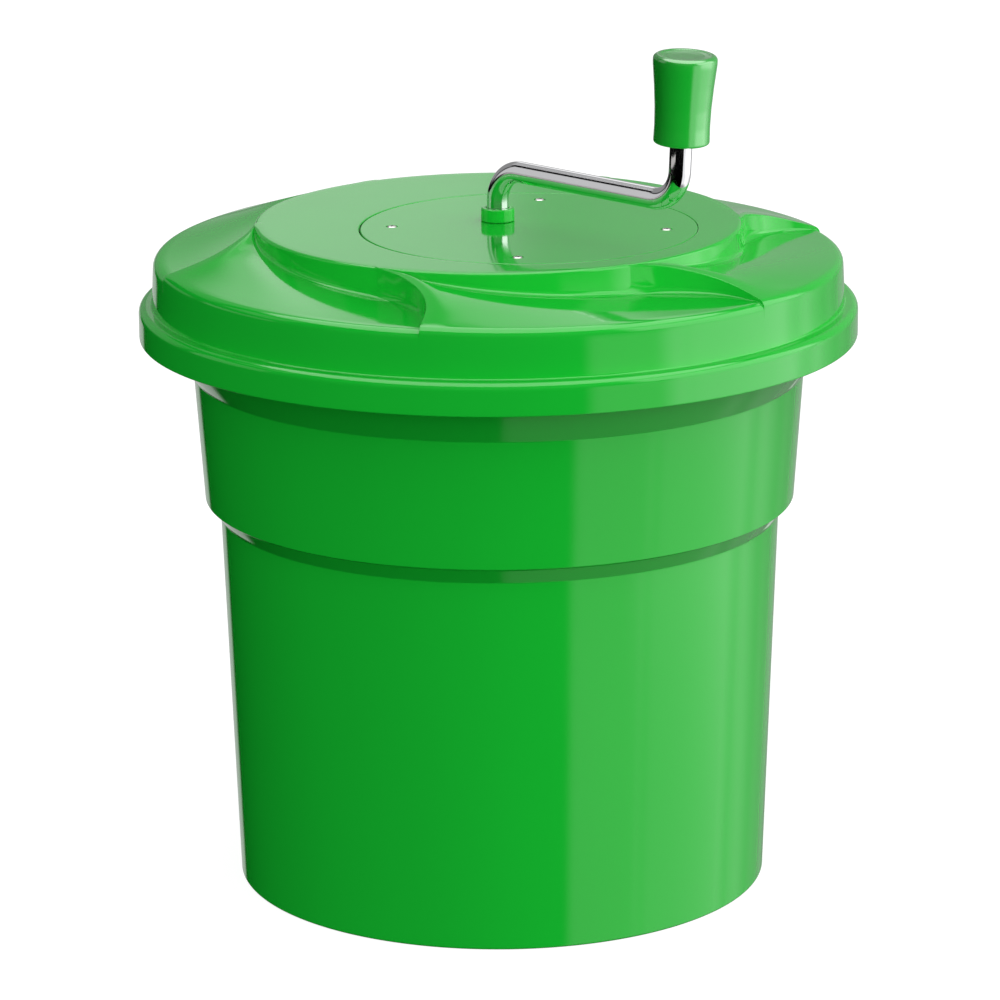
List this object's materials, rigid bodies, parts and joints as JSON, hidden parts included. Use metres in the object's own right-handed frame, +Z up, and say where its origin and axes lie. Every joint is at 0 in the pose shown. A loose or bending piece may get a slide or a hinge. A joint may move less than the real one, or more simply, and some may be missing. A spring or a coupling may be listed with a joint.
{
  "type": "salad spinner",
  "caption": "Large hand-cranked salad spinner: green stepped tub, swirl-topped lid with bent chrome crank and turning grip, geared to a slotted basket inside.",
  "frame": {"origin": "on the tub's axis, at the level of its foot ring", "axes": "+Z up along the axis of tub, basket and crank shaft; the crank arm points to azimuth -45.2 degrees, measured from +X towards +Y"},
  "size_m": [0.4292, 0.4292, 0.5228],
  "materials": {
    "green_gloss": "moulded, high gloss",
    "knob_green": "moulded, semi gloss",
    "basket_white": "moulded, semi gloss",
    "acetal_white": "machined",
    "nylon_grey": "moulded",
    "seal_rubber": "matte",
    "steel": "plain stainless",
    "crank_chrome": "polished"
  },
  "bodies": {
    "tub": {"tub": "green_gloss", "pivot_pin": "steel", "pivot_seal": "seal_rubber", "pivot_washer": "steel", "pivot_nut": "steel"},
    "bearing": {"pivot_bush": "acetal_white"},
    "basket": {"basket": "basket_white"},
    "lid": {"lid": "green_gloss", "gear_cover": "green_gloss", "cover_gasket": "seal_rubber", "cover_screw_1": "steel", "cover_screw_2": "steel", "cover_screw_3": "steel", "cover_screw_4": "steel", "crank_bush": "green_gloss", "countershaft_pin": "steel", "idler_washer": "steel", "output_bush": "acetal_white"},
    "crank": {"crank_rod": "crank_chrome", "crank_gear": "acetal_white", "crank_screw": "steel", "crank_washer": "steel", "knob_screw": "steel", "knob_washer": "steel"},
    "grip": {"knob": "knob_green", "knob_cap": "knob_green"},
    "idler": {"idler_gear": "nylon_grey"},
    "drive": {"output_pinion": "steel", "drive_plate": "basket_white", "drive_washer": "steel", "drive_screw": "steel"}
  },
  "joints": [
    {"name": "lid_lift", "type": "slide", "parent": "tub", "child": "lid", "axis": [0, 0, 1], "range_m": [0, 0.7]},
    {"name": "basket_spin", "type": "hinge", "parent": "tub", "child": "bearing", "pos_m": [0, 0, 0.04], "axis": [0, 0, 1], "continuous": true},
    {"name": "basket_lift", "type": "slide", "parent": "bearing", "child": "basket", "axis": [0, 0, 1], "range_m": [0, 0.35]},
    {"name": "crank_turn", "type": "hinge", "parent": "lid", "child": "crank", "pos_m": [0, 0, 0.4], "axis": [0, 0, 1], "continuous": true},
    {"name": "grip_spin", "type": "hinge", "parent": "crank", "child": "grip", "pos_m": [0.10379, -0.10452, 0.4348], "axis": [0.043, -0.0433, 0.9981], "continuous": true},
    {"name": "idler_spin", "type": "hinge", "parent": "lid", "child": "idler", "pos_m": [0.04428, -0.05094, 0.389], "axis": [0, 0, 1], "continuous": true},
    {"name": "drive_spin", "type": "hinge", "parent": "lid", "child": "drive", "pos_m": [0, 0, 0.37], "axis": [0, 0, 1], "continuous": true}
  ],
  "couplings": [
    {"joint": "crank_turn", "follows": "basket_spin", "ratio": 0.175},
    {"joint": "idler_spin", "follows": "basket_spin", "ratio": -0.5},
    {"joint": "drive_spin", "follows": "basket_spin", "ratio": 1},
    {"joint": "basket_lift", "follows": "lid_lift", "ratio": 0.5}
  ]
}
